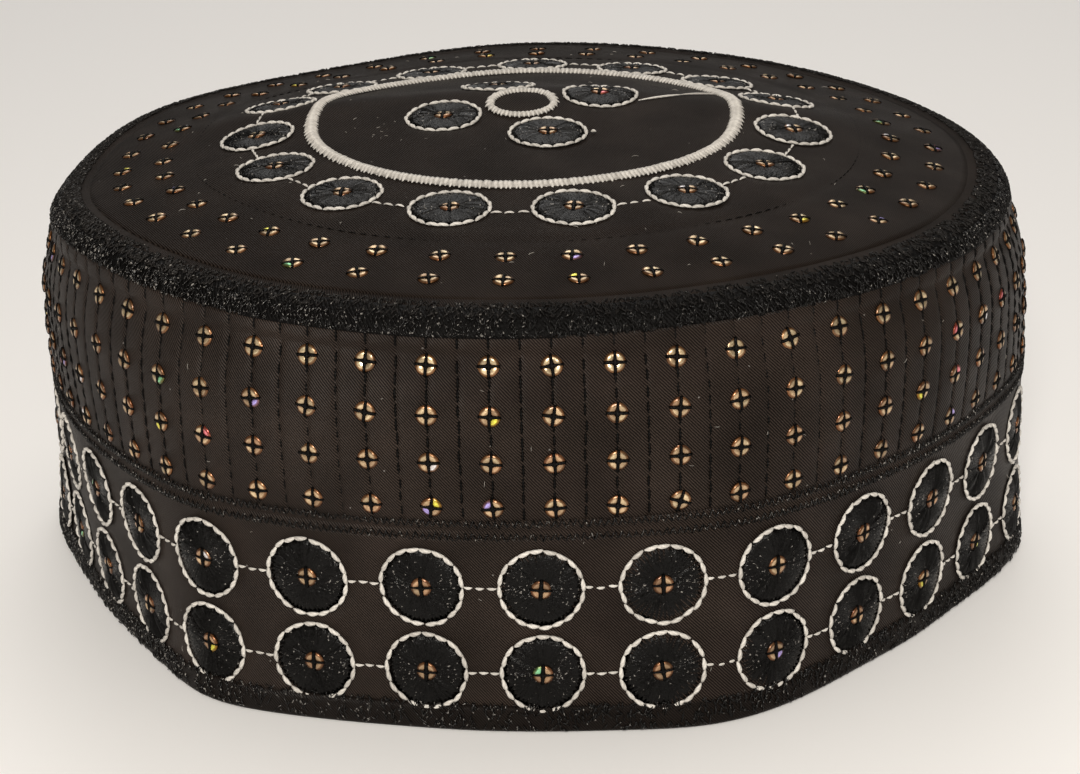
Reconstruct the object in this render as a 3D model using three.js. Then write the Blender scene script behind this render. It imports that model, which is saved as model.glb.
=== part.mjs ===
// Tubeteika skullcap of quilted black satin, resting on its flat hem.
// Millimetres, +Z up, -Y is the front, angles run in degrees from the front towards +X.
import * as THREE from 'three';
import { mergeVertices } from 'three/addons/utils/BufferGeometryUtils.js';

// Cloth
const GAP = 0.3;
const TOP_CLOTH = 2.0;
const WALL_CLOTH = 2.2;
const SEAM_CLOTH = 2.8;
const QUILT_DEPTH = 0.5;
const SEAM_PROUD = 0.5;

// Heights up the wall
const HEM_TOP = 4.8;
const HEM_BEVEL = 0.6;
const BAND_SEAM_FROM = 35.5;
const BAND_SEAM_TO = 39.2;
const WELT_FROM = 68.6;
const CROWN_Z = 73.0;

// Radii on the crown
const CROWN_R = 87.7;
const WELT_INNER_R = 82.6;
const CROWN_RING = { radius: 40.1, width: 2.6, height: 1.1 };
const CENTRE_RING = { radius: 6.0, width: 1.7, height: 0.9 };

// The seam roll at the crown's edge is a quarter round
const SHOULDER = { r: 85.9, z: WELT_FROM, outer: 4.8, inner: 2.4, outerSteps: 5, innerSteps: 3 };

// Channels stitched into the side panel, one on each sequin column and one between columns
const QUILT_COLUMNS = 58;
const QUILT_PHASE = -16.4;
const STITCH_LINES = 2 * QUILT_COLUMNS;

// Dome of the top panel, with the ridge left by folding the cap flat from left to right
const DOME_RISE = 8.4;
const RIDGE = { rise: 3.8, fade: 16, softness: 5, behind: 7.0, turn: -3.7 };

// Moves the outline's middle onto the origin
const CENTRE_SHIFT = new THREE.Vector2(0.6, -0.2);

// Wall radius every 10 mm from the hem up
const WALL_STEP = 10;
const WALL_RADII = [89.7, 89.8, 90.2, 90.8, 91.7, 92.3, 92.1, 89.8];

// Every 30 degrees: how far the hem and the crown edge stand out, and how far the crown edge lifts
const WALL_SHAPE = [
  { angle: 0, hem: -0.8, crown: 0.0, lift: -0.5 },
  { angle: 30, hem: 0.7, crown: 0.2, lift: -0.4 },
  { angle: 60, hem: -2.7, crown: 0.4, lift: -1.2 },
  { angle: 90, hem: -2.4, crown: 0.8, lift: -1.4 },
  { angle: 120, hem: -0.2, crown: 0.1, lift: 0.0 },
  { angle: 150, hem: 0.1, crown: -0.2, lift: 1.9 },
  { angle: 180, hem: 0.0, crown: 0.0, lift: 2.8 },
  { angle: 210, hem: 0.1, crown: 0.2, lift: 0.6 },
  { angle: 240, hem: 0.1, crown: -0.2, lift: 0.8 },
  { angle: 270, hem: -1.8, crown: -2.2, lift: -0.3 },
  { angle: 300, hem: -2.6, crown: -1.2, lift: 1.5 },
  { angle: 330, hem: 1.3, crown: -0.1, lift: 0.4 },
];

// Creases and flats pressed into the wall: how far each stands out, and its half width in degrees
const WALL_DENTS = [
  { name: 'right fold', angle: 80.1, width: 17, hem: 7.9, crown: -1.1 },
  { name: 'left fold', angle: -99.9, width: 17, hem: 7.9, crown: -1.1 },
  { name: 'left front corner', angle: -37.6, width: 8.5, hem: 2.1, crown: 0 },
  { name: 'right front corner', angle: 19.0, width: 9.9, hem: 2.3, crown: 0 },
  { name: 'left front flat', angle: -17.2, width: 12.7, hem: -1.9, crown: 0 },
  { name: 'right front flat', angle: 39.6, width: 9.6, hem: -1.4, crown: 0 },
];

// Segments round the cap
const RING_SEGMENTS = 72;
const CENTRE_SEGMENTS = 24;
const QUILT_SEGMENTS = 2 * STITCH_LINES;

// Straight steps up a wall and across the top panel, on the face and on the hidden side
const WALL_STEPS = { face: 4, hidden: 2 };
const TOP_STEPS = { face: 10, hidden: 6 };

// Height from which the crown's dome and lift act in full, and how fast they fade below it
const RISE_FROM = 70;
const RISE_POWER = 6;

// Points closer together than this are one point
const MERGE = 1e-3;

const { clamp, degToRad, lerp, radToDeg, euclideanModulo } = THREE.MathUtils;

// Smooth curve through evenly spaced values
function throughValues(valueAt, position) {
  const i = Math.floor(position);
  const f = position - i;
  const [a, b, c, d] = [valueAt(i - 1), valueAt(i), valueAt(i + 1), valueAt(i + 2)];
  const square = 2 * a - 5 * b + 4 * c - d;
  const cube = 3 * b - a - 3 * c + d;
  return 0.5 * (2 * b + (c - a) * f + square * f ** 2 + cube * f ** 3);
}

function wallRadius(z) {
  const last = WALL_RADII.length - 1;
  return throughValues((i) => WALL_RADII[clamp(i, 0, last)], clamp(z / WALL_STEP, 0, last));
}

function roundTable(key, angle) {
  const rows = WALL_SHAPE.length;
  return throughValues((i) => WALL_SHAPE[euclideanModulo(i, rows)][key], (angle / 360) * rows);
}

function dents(key, angle) {
  return WALL_DENTS.reduce((sum, dent) => {
    const away = euclideanModulo(angle - dent.angle + 180, 360) - 180;
    return sum + dent[key] * Math.exp(-((away / dent.width) ** 2));
  }, 0);
}

// How far the wall stands out from its round form, from the hem at share 0 to the crown at share 1
function standOut(angle, share) {
  const hem = roundTable('hem', angle) + dents('hem', angle);
  const crown = roundTable('crown', angle) + dents('crown', angle);
  return lerp(hem, crown, share);
}

function domeRise(x, y) {
  const turn = degToRad(RIDGE.turn);
  const away = y * Math.cos(turn) - x * Math.sin(turn) - RIDGE.behind;
  const rounded = Math.hypot(away, RIDGE.softness) - RIDGE.softness;
  return DOME_RISE + RIDGE.rise * Math.exp(-rounded / RIDGE.fade);
}

// Takes a point of the round, flat-topped form to its place on the worn cap
function settle(point) {
  const r = Math.hypot(point.x, point.y);
  const angle = radToDeg(Math.atan2(point.x, -point.y));
  const inward = Math.min(r / CROWN_R, 1) ** 2;
  const rise = clamp(point.z / RISE_FROM, 0, 1) ** RISE_POWER;
  const settledR = r + inward * standOut(angle, clamp(point.z / CROWN_Z, 0, 1));
  point.x = settledR * Math.sin(degToRad(angle));
  point.y = -settledR * Math.cos(degToRad(angle));
  const dome = (1 - inward) * domeRise(point.x, point.y);
  point.z += rise * (dome + inward * roundTable('lift', angle));
}

// Turns a closed profile of [r, z] points round the cap's axis, adds relief, and settles it
function turned(profile, segments, startAngle, relief = () => 0) {
  const points = profile.map(([r, z]) => new THREE.Vector2(r, z));
  const lathe = new THREE.LatheGeometry(points, segments, degToRad(startAngle));
  lathe.rotateX(Math.PI / 2);
  lathe.deleteAttribute('normal');
  lathe.deleteAttribute('uv');
  const geometry = mergeVertices(lathe, MERGE);
  const position = geometry.getAttribute('position');
  const point = new THREE.Vector3();
  for (let i = 0; i < position.count; i += 1) {
    point.fromBufferAttribute(position, i);
    const r = Math.hypot(point.x, point.y);
    const grown = r > 0 ? 1 + relief(r, radToDeg(Math.atan2(point.x, -point.y)), point.z) / r : 1;
    point.x *= grown;
    point.y *= grown;
    settle(point);
    position.setXYZ(i, point.x + CENTRE_SHIFT.x, point.y + CENTRE_SHIFT.y, point.z);
  }
  geometry.computeVertexNormals();
  return geometry;
}

const closed = (points) => [...points, points[0]];
const stepped = (steps, pointAt) => Array.from({ length: steps + 1 }, (_, i) => pointAt(i / steps));

// Outer face of a wall from one height to another, then its inner face back down
function wallProfile(from, to) {
  const pointAt = (z, inset) => [wallRadius(z) - inset, z];
  const outer = stepped(WALL_STEPS.face, (share) => pointAt(lerp(from, to, share), 0));
  const inner = stepped(WALL_STEPS.hidden, (share) => pointAt(lerp(to, from, share), WALL_CLOTH));
  return closed([...outer, ...inner]);
}

function hemProfile() {
  const foot = wallRadius(0) + SEAM_PROUD;
  const head = wallRadius(HEM_TOP) + SEAM_PROUD;
  return closed([
    [foot - SEAM_CLOTH, 0],
    [foot - HEM_BEVEL, 0],
    [foot, HEM_BEVEL],
    [head, HEM_TOP - HEM_BEVEL],
    [head - HEM_BEVEL, HEM_TOP],
    [head - SEAM_CLOTH, HEM_TOP],
  ]);
}

// Two stitched ridges one above the other
function bandSeamProfile() {
  const ridges = [0, SEAM_PROUD, SEAM_PROUD / 4, SEAM_PROUD, 0];
  const outer = ridges.map((proud, i) => {
    const z = lerp(BAND_SEAM_FROM, BAND_SEAM_TO, i / (ridges.length - 1));
    return [wallRadius(z) + proud, z];
  });
  const inner = [BAND_SEAM_TO, BAND_SEAM_FROM].map((z) => [wallRadius(z) - WALL_CLOTH, z]);
  return closed([...outer, ...inner]);
}

function shoulderArc(radius, steps) {
  return stepped(steps, (share) => {
    const turn = (share * Math.PI) / 2;
    return [SHOULDER.r + radius * Math.cos(turn), SHOULDER.z + radius * Math.sin(turn)];
  });
}

function weltProfile() {
  const outer = shoulderArc(SHOULDER.outer, SHOULDER.outerSteps);
  const inner = shoulderArc(SHOULDER.inner, SHOULDER.innerSteps);
  const topEdge = SHOULDER.z + SHOULDER.outer;
  const underEdge = SHOULDER.z + SHOULDER.inner;
  return closed([...outer, [WELT_INNER_R, topEdge], [WELT_INNER_R, underEdge], ...inner.reverse()]);
}

// The top panel as a flat disc, from the axis out along its underside and back over its face
function topProfile() {
  const edge = WELT_INNER_R - GAP;
  const under = stepped(TOP_STEPS.hidden, (share) => [edge * share, CROWN_Z - TOP_CLOTH]);
  const face = stepped(TOP_STEPS.face, (share) => [edge * (1 - share), CROWN_Z]);
  return [...under, ...face];
}

// A raised ring of satin stitch with a flat foot, lying on the top panel
function ringProfile({ radius, width, height }) {
  const foot = CROWN_Z + GAP;
  const section = [
    { out: -0.5, up: 0 },
    { out: 0.5, up: 0 },
    { out: 0.5, up: 0.45 },
    { out: 0.22, up: 1 },
    { out: -0.22, up: 1 },
    { out: -0.5, up: 0.45 },
  ];
  return closed(section.map(({ out, up }) => [radius + out * width, foot + up * (height - GAP)]));
}

// Presses a groove into the outer face along each stitch line
function quilting(r, angle, z) {
  const onOuterFace = r > wallRadius(z) - WALL_CLOTH / 2;
  const acrossLine = Math.cos(degToRad((angle - QUILT_PHASE) * STITCH_LINES));
  return onOuterFace ? (-QUILT_DEPTH * (1 + acrossLine)) / 2 : 0;
}

// Materials
const satin = () => new THREE.MeshStandardMaterial({ color: 0x1c1815, roughness: 0.5, metalness: 0 });
const blackThread = () => new THREE.MeshStandardMaterial({ color: 0x0d0c0b, roughness: 0.35, metalness: 0 });
const whiteThread = () => new THREE.MeshStandardMaterial({ color: 0xd8d0c2, roughness: 0.6, metalness: 0 });

function piece(name, geometry, material) {
  const mesh = new THREE.Mesh(geometry, material);
  mesh.name = name;
  return mesh;
}

const fold = WALL_DENTS[0].angle;
const lowerProfile = wallProfile(HEM_TOP + GAP, BAND_SEAM_FROM - GAP);
const sideProfile = wallProfile(BAND_SEAM_TO + GAP, WELT_FROM - GAP);

const cap = new THREE.Group();
cap.add(piece('hem', turned(hemProfile(), RING_SEGMENTS, fold), blackThread()));
cap.add(piece('lower_band', turned(lowerProfile, RING_SEGMENTS, fold), satin()));
cap.add(piece('band_seam', turned(bandSeamProfile(), RING_SEGMENTS, fold), blackThread()));
cap.add(piece('side_panel', turned(sideProfile, QUILT_SEGMENTS, QUILT_PHASE, quilting), satin()));
cap.add(piece('crown_welt', turned(weltProfile(), RING_SEGMENTS, fold), blackThread()));
cap.add(piece('top_panel', turned(topProfile(), RING_SEGMENTS, fold), satin()));
cap.add(piece('crown_ring', turned(ringProfile(CROWN_RING), RING_SEGMENTS, fold), whiteThread()));
cap.add(piece('centre_ring', turned(ringProfile(CENTRE_RING), CENTRE_SEGMENTS, fold), whiteThread()));

export default cap;
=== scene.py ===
import math

import bpy
import numpy as np
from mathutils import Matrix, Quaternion, Vector


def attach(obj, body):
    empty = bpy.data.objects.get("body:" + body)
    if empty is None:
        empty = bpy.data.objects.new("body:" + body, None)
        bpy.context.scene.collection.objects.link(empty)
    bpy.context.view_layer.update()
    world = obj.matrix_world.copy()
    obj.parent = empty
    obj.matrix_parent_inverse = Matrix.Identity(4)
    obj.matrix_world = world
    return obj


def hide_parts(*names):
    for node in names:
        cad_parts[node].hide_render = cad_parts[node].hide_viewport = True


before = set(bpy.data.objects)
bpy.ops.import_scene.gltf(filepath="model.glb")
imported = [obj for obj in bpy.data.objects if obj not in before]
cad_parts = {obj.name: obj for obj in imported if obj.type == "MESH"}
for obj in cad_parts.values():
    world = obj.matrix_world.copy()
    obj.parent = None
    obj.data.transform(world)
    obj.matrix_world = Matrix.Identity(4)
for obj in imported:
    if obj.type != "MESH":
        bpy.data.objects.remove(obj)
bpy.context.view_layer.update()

# Sizes are in millimetres, and angles in degrees from the front towards +X
MM = 0.001

# Form of the cap, the same as in its solids
CROWN_R = 87.7
CROWN_Z = 73.0
WALL_STEP = 10
WALL_RADII = np.array([89.7, 89.8, 90.2, 90.8, 91.7, 92.3, 92.1, 89.8])
WALL_CLOTH = 2.2
TOP_CLOTH = 2.0
SEAM_CLOTH = 2.8
SEAM_PROUD = 0.5
HEM_TOP = 4.8
BAND_SEAM = (35.5, 39.2)
WELT_FROM = 68.6
WELT_INNER_R = 82.6
SHOULDER_R = 85.9
SHOULDER_ROUND = 4.8
OVERLOCK = (1.5, 9.0)
RISE_FROM = 70
RISE_POWER = 6
DOME_RISE = 8.4
RIDGE = dict(rise=3.8, fade=16, softness=5, behind=7.0, turn=-3.7)
CENTRE_SHIFT = np.array([0.6, -0.2, 0.0])

# Every 30 degrees: how far the hem and the crown edge stand out, and how far the crown edge lifts
WALL_SHAPE = dict(
    hem=np.array([-0.8, 0.7, -2.7, -2.4, -0.2, 0.1, 0.0, 0.1, 0.1, -1.8, -2.6, 1.3]),
    crown=np.array([0.0, 0.2, 0.4, 0.8, 0.1, -0.2, 0.0, 0.2, -0.2, -2.2, -1.2, -0.1]),
    lift=np.array([-0.5, -0.4, -1.2, -1.4, 0.0, 1.9, 2.8, 0.6, 0.8, -0.3, 1.5, 0.4]),
)
WALL_DENTS = [
    dict(angle=80.1, width=17, hem=7.9, crown=-1.1),
    dict(angle=-99.9, width=17, hem=7.9, crown=-1.1),
    dict(angle=-37.6, width=8.5, hem=2.1, crown=0),
    dict(angle=19.0, width=9.9, hem=2.3, crown=0),
    dict(angle=-17.2, width=12.7, hem=-1.9, crown=0),
    dict(angle=39.6, width=9.6, hem=-1.4, crown=0),
]

# Round the wall, flat lengths are measured where the columns of sequins are 10 mm apart
COLUMN_PITCH = 10.0
SIDE_COLUMNS = 58
GIRTH = COLUMN_PITCH * SIDE_COLUMNS
GIRTH_R = GIRTH / (2 * math.pi)

# Ornament
SIDE_PHASE = -16.4
SIDE_ROWS = (65.5, 57.5, 49.4, 41.5)
STITCH_LINES = 2 * SIDE_COLUMNS
BAND_COLUMNS = 29
BAND_PHASE = 0.6
BAND_ROWS = (26.7, 11.0)
CIRCLE_R = 7.0
TOP_SEQUINS = dict(count=40, phase=-2.8, radii=(68.7, 76.7))
TOP_CIRCLES = dict(count=15, phase=9.4, radius=50.6)
INNER_CIRCLES = dict(count=4, phase=17.0, radius=15.4)
CROWN_RING = dict(radius=40.1, width=2.6, height=1.1, stitches=290)
CENTRE_RING = dict(radius=6.0, width=1.7, height=0.9, stitches=48)
GUIDE_R = 63.0
SEQUIN_R = 1.72


# Form


def through_values(values, at, wraps):
    """Smooth curve through evenly spaced values."""
    i = np.floor(at).astype(int)
    f = at - i
    n = len(values)
    spots = [i + k for k in (-1, 0, 1, 2)]
    a, b, c, d = [values[s % n] if wraps else values[np.clip(s, 0, n - 1)] for s in spots]
    square = 2 * a - 5 * b + 4 * c - d
    cube = 3 * b - a - 3 * c + d
    return 0.5 * (2 * b + (c - a) * f + square * f**2 + cube * f**3)


def wall_radius(z):
    at = np.clip(np.asarray(z, float) / WALL_STEP, 0, len(WALL_RADII) - 1)
    return through_values(WALL_RADII, at, False)


def round_table(column, angle):
    return through_values(WALL_SHAPE[column], angle % 360 / 30, True)


def dents(column, angle):
    away = [(angle - d["angle"] + 180) % 360 - 180 for d in WALL_DENTS]
    return sum(d[column] * np.exp(-((a / d["width"]) ** 2)) for d, a in zip(WALL_DENTS, away))


def dome_rise(x, y):
    turn = math.radians(RIDGE["turn"])
    away = y * math.cos(turn) - x * math.sin(turn) - RIDGE["behind"]
    rounded = np.hypot(away, RIDGE["softness"]) - RIDGE["softness"]
    return DOME_RISE + RIDGE["rise"] * np.exp(-rounded / RIDGE["fade"])


def settle(r, angle, z):
    """Takes points of the round, flat-topped form to their places on the cap."""
    r, angle, z = np.broadcast_arrays(*(np.asarray(v, float) for v in (r, angle, z)))
    inward = np.minimum(r / CROWN_R, 1) ** 2
    rise = np.clip(z / RISE_FROM, 0, 1) ** RISE_POWER
    share = np.clip(z / CROWN_Z, 0, 1)
    hem = round_table("hem", angle) + dents("hem", angle)
    crown = round_table("crown", angle) + dents("crown", angle)
    settled = r + inward * (hem * (1 - share) + crown * share)
    x = settled * np.sin(np.radians(angle))
    y = -settled * np.cos(np.radians(angle))
    up = (1 - inward) * dome_rise(x, y) + inward * round_table("lift", angle)
    return np.stack([x, y, z + rise * up], -1) + CENTRE_SHIFT


def on_wall(u, v, out):
    """u runs round the wall in flat millimetres, v is the height, out stands off the cloth."""
    return settle(wall_radius(v) + out, np.degrees(np.asarray(u, float) / GIRTH_R), v)


def on_hem(u, v, out):
    """The same places as on_wall, on the hem's own thicker cloth."""
    fade = 0.8
    proud = (SEAM_PROUD - 0.1) * np.clip((HEM_TOP + fade - np.asarray(v, float)) / fade, 0, 1)
    return on_wall(u, v, out + proud)


def on_top(u, v, out):
    """u and v are x and y on the flat top."""
    r = np.hypot(u, v)
    return settle(r, np.degrees(np.arctan2(u, -np.asarray(v, float))), CROWN_Z + out)


def on_welt(u, v, out):
    """v runs from the welt's lower edge over the shoulder and onto the top."""
    v = np.asarray(v, float)
    quarter = SHOULDER_ROUND * math.pi / 2
    turn = np.clip(v, 0, quarter) / SHOULDER_ROUND
    r = SHOULDER_R + (SHOULDER_ROUND + out) * np.cos(turn) - np.maximum(v - quarter, 0)
    z = WELT_FROM + (SHOULDER_ROUND + out) * np.sin(turn) + np.minimum(v, 0)
    return settle(r, np.degrees(np.asarray(u, float) / GIRTH_R), z)


def unit(v):
    return v / np.linalg.norm(v, axis=-1, keepdims=True)


def axes_at(ground, u, v):
    """A place on a ground, with its two directions along the cloth and the one out of it."""
    step = 0.2
    place = ground(u, v, 0.0)
    along = unit(ground(u + step, v, 0.0) - place)
    out = unit(np.cross(along, ground(u, v + step, 0.0) - place))
    return place, along, np.cross(out, along), out


def side_columns():
    return COLUMN_PITCH * np.arange(SIDE_COLUMNS) + math.radians(SIDE_PHASE) * GIRTH_R


def band_centres():
    """Centres of the embroidered circles on the lower band, as flat u and v."""
    columns = (np.arange(BAND_COLUMNS) / BAND_COLUMNS + BAND_PHASE / 360) * GIRTH
    u, v = np.meshgrid(columns, BAND_ROWS)
    return u.ravel(), v.ravel()


def round_places(count, phase, radius):
    """Places spread evenly round the top, as flat u and v, with their angles."""
    angle = np.radians(phase + 360 * np.arange(count) / count)
    return radius * np.sin(angle), -radius * np.cos(angle), angle


# Meshes


def make_piece(name, points, faces, material, replaces=(), uv=None, colours=None):
    """A smooth mesh piece from millimetre points. uv is per face corner, colours are per point."""
    mesh = bpy.data.meshes.new(name)
    mesh.from_pydata((np.asarray(points) * MM).tolist(), [], faces)
    mesh.polygons.foreach_set("use_smooth", np.ones(len(mesh.polygons), bool))
    if uv is not None:
        layer = mesh.uv_layers.new(name="flat")
        layer.uv.foreach_set("vector", np.asarray(uv, np.float32).ravel())
    if colours is not None:
        layer = mesh.color_attributes.new("tone", "FLOAT_COLOR", "POINT")
        layer.data.foreach_set("color", np.asarray(colours, np.float32).ravel())
    mesh.materials.append(material)
    piece = bpy.data.objects.new(name, mesh)
    bpy.context.scene.collection.objects.link(piece)
    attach(piece, "root")
    if replaces:
        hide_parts(*replaces)
    return piece


def ring_grid(points, u, v, closed):
    """Quads of a grid that runs round the cap, with their corner uv.

    points is rows by columns, and u has one more value than there are columns.
    """
    rows, columns = points.shape[:2]
    last = rows if closed else rows - 1
    i, j = np.meshgrid(np.arange(last), np.arange(columns), indexing="ij")
    up, right = (i + 1) % rows, (j + 1) % columns
    quads = np.stack([i * columns + j, i * columns + right, up * columns + right, up * columns + j], -1)
    corner_u = np.stack([u[j], u[j + 1], u[j + 1], u[j]], -1)
    corner_v = np.stack([v[i], v[i], v[i + 1], v[i + 1]], -1)
    uv = np.stack([corner_u, corner_v], -1).reshape(-1, 2)
    return points.reshape(-1, 3), quads.reshape(-1, 4).tolist(), uv


def shell(name, profile, u, relief, material, replaces):
    """A wall turned round the cap through the places u, the last of them the first again.

    The profile's rows are (r, z, share of relief), up the outside and down the inside.
    """
    r, z, share = (np.array(column, float)[:, None] for column in zip(*profile))
    along = u[None, :-1]
    points = settle(r + share * relief(along, z), np.degrees(along / GIRTH_R), z)
    step = np.hypot(np.diff(r[:, 0], append=r[0, 0]), np.diff(z[:, 0], append=z[0, 0]))
    v = np.concatenate([[z[0, 0]], z[0, 0] + np.cumsum(step)])
    points, quads, uv = ring_grid(points, u, v, True)
    return make_piece(name, points, quads, material, replaces, uv)


def even_steps(columns):
    return GIRTH * np.arange(columns + 1) / columns


def wall_profile(low, high, outer_rows, inner_rows):
    outer = [(wall_radius(z), z, 1) for z in np.linspace(low, high, outer_rows)]
    inner = [(wall_radius(z) - WALL_CLOTH, z, 0) for z in np.linspace(high, low, inner_rows)]
    return outer + inner


def soft_waves(u, z, height, seed):
    """Slow unevenness of handled cloth."""
    draws = np.random.default_rng(seed).uniform(0, 2 * math.pi, 8)
    turn = u / GIRTH_R
    sums = [np.sin(turn * (5 + 4 * k) + z / (13 + 3 * k) + draws[k]) / (1 + k) for k in range(8)]
    return height * sum(sums)


# Thread

# How thick a stitch is along its length and how far it rises, as shares of its width and its lift
SPINDLE = dict(
    at=np.array([0.0, 0.14, 0.36, 0.64, 0.86, 1.0]),
    plump=np.array([0.3, 0.7, 1.0, 1.0, 0.7, 0.3]),
    rise=np.array([-0.7, 0.1, 0.8, 0.8, 0.1, -0.7]),
)
ARM = dict(
    at=np.array([0.0, 0.3, 0.75, 1.0]),
    plump=np.array([1.0, 1.0, 1.0, 0.9]),
    rise=np.array([0.2, 0.6, 0.4, -0.8]),
)
STRAND = dict(
    at=np.array([0.0, 0.3, 0.7, 1.0]),
    plump=np.array([0.6, 1.0, 1.0, 0.6]),
    rise=np.array([-0.8, 0.7, 0.7, -0.8]),
)


def stitches(start, end, out, width, lift, form=STRAND, sides=3, tall=1.0):
    """Stitches that dive into the cloth at both ends, as points, faces and corner uv.

    tall is the height of the thread's section as a share of its width.
    """
    at, plump, rise = form["at"], form["plump"], form["rise"]
    count, rings = len(start), len(at)
    width = np.broadcast_to(width, count)[:, None, None, None]
    lift = np.broadcast_to(lift, count)[:, None, None, None]
    along = end - start
    side = unit(np.cross(along, out))
    out = unit(np.cross(side, along))
    turn = 2 * math.pi * (np.arange(sides) / sides + 0.25)
    middle = start[:, None] + along[:, None] * at[None, :, None]
    ring = side[:, None, None] * np.cos(turn)[None, None, :, None]
    ring = ring + out[:, None, None] * np.sin(turn)[None, None, :, None] * tall
    ring = ring * plump[None, :, None, None] * width / 2
    points = middle[:, :, None] + ring + out[:, None, None] * rise[None, :, None, None] * lift
    base = np.arange(count)[:, None, None, None] * rings * sides
    i, j = np.meshgrid(np.arange(rings - 1), np.arange(sides), indexing="ij")
    right = (j + 1) % sides
    quad = np.stack([i * sides + right, i * sides + j, (i + 1) * sides + j, (i + 1) * sides + right], -1)
    quads = (base + quad[None]).reshape(-1, 4)
    first = np.arange(sides)
    caps = np.stack([first, (rings - 1) * sides + first[::-1]])
    caps = (base[..., 0] + caps[None]).reshape(-1, sides)
    length = np.linalg.norm(along, axis=1)[:, None, None, None]
    corner_u = length * np.stack([at[i], at[i], at[i + 1], at[i + 1]], -1)[None]
    corner_v = np.broadcast_to(np.stack([j + 1, j, j, j + 1], -1) / sides, corner_u.shape)
    uv = np.stack([corner_u.ravel(), corner_v.ravel()], -1)
    uv = np.concatenate([uv, np.zeros((caps.size, 2))])
    return points.reshape(-1, 3), quads.tolist() + caps.tolist(), uv


def tones(count, each, low, high, seed):
    """One brightness for each stitch, given to all its points."""
    value = np.random.default_rng(seed).uniform(low, high, count)
    return np.repeat(np.stack([value, value, value, np.ones(count)], -1), each, axis=0)


def sewn(name, ground, ends, width, lift, material, slot, seed, out=0.0, **section):
    """A piece of stitches between flat places on a ground."""
    u0, v0, u1, v1 = ends
    start, end = ground(u0, v0, out), ground(u1, v1, out)
    normal = axes_at(ground, (u0 + u1) / 2, (v0 + v1) / 2)[3]
    points, faces, uv = stitches(start, end, normal, width, lift, **section)
    colours = tones(len(start), len(points) // len(start), 0.7, 1.1, seed)
    return make_piece(name, points, faces, material, (), uv, colours)


def circle_thread(centre_u, centre_v, count, seed):
    """Ends of the stitches that outline circles of thread."""
    rng = np.random.default_rng(seed)
    circles = len(centre_u)
    start_turn = rng.uniform(0, 2 * math.pi, (circles, 1))
    turn = start_turn + 2 * math.pi * np.arange(count)[None] / count
    turn = turn + rng.normal(0, 0.02, turn.shape)
    ahead = turn + 2 * math.pi / count * 1.06
    radius = CIRCLE_R + rng.normal(0, 0.06, turn.shape)
    next_radius = radius + rng.normal(0.05, 0.06, turn.shape)
    u0 = centre_u[:, None] + radius * np.sin(turn)
    v0 = centre_v[:, None] + radius * np.cos(turn)
    u1 = centre_u[:, None] + next_radius * np.sin(ahead)
    v1 = centre_v[:, None] + next_radius * np.cos(ahead)
    return [a.ravel() for a in (u0, v0, u1, v1)]


def dashes(from_u, from_v, to_u, to_v, count, seed):
    """Running stitches from each place to the next, with small gaps."""
    rng = np.random.default_rng(seed)
    share = np.arange(count)[None] / count
    fill = rng.uniform(0.72, 0.92, (len(from_u), count)) / count
    drift = rng.normal(0, 0.12, (len(from_u), count))
    du, dv = (to_u - from_u)[:, None], (to_v - from_v)[:, None]
    u0, v0 = from_u[:, None] + du * share, from_v[:, None] + dv * share + drift
    u1, v1 = u0 + du * fill, v0 + dv * fill - drift / 2
    return [a.ravel() for a in (u0, v0, u1, v1)]


# Materials


def add(tree, kind, inputs=None, **settings):
    node = tree.nodes.new("ShaderNode" + kind)
    for key, value in settings.items():
        setattr(node, key, value)
    for key, value in (inputs or {}).items():
        if isinstance(value, bpy.types.NodeSocket):
            tree.links.new(value, node.inputs[key])
        else:
            node.inputs[key].default_value = value
    return node


def calc(tree, operation, a, b=0.0, c=0.0):
    return add(tree, "Math", {0: a, 1: b, 2: c}, operation=operation).outputs[0]


def blend_colours(tree, share, a, b):
    node = add(tree, "Mix", {0: share, 6: a, 7: b}, data_type="RGBA")
    return node.outputs[2]


def remap(tree, value, low, high, to_low, to_high):
    settings = {"Value": value, 1: low, 2: high, 3: to_low, 4: to_high}
    return add(tree, "MapRange", settings).outputs[0]


def noise(tree, where, scale, detail=2.0):
    return add(tree, "TexNoise", {"Vector": where, "Scale": scale, "Detail": detail}).outputs["Fac"]


def new_material(name, **values):
    made = bpy.data.materials.new(name)
    made.use_nodes = True
    shader = made.node_tree.nodes["Principled BSDF"]
    for key, value in values.items():
        shader.inputs[key.replace("_", " ")].default_value = value
    return made, made.node_tree, shader


def set_input(tree, shader, **sockets):
    for key, value in sockets.items():
        tree.links.new(value, shader.inputs[key.replace("_", " ")])


def bump(tree, height, strength, distance):
    inputs = {"Height": height, "Strength": strength, "Distance": distance * MM}
    return add(tree, "Bump", inputs).outputs["Normal"]


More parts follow.
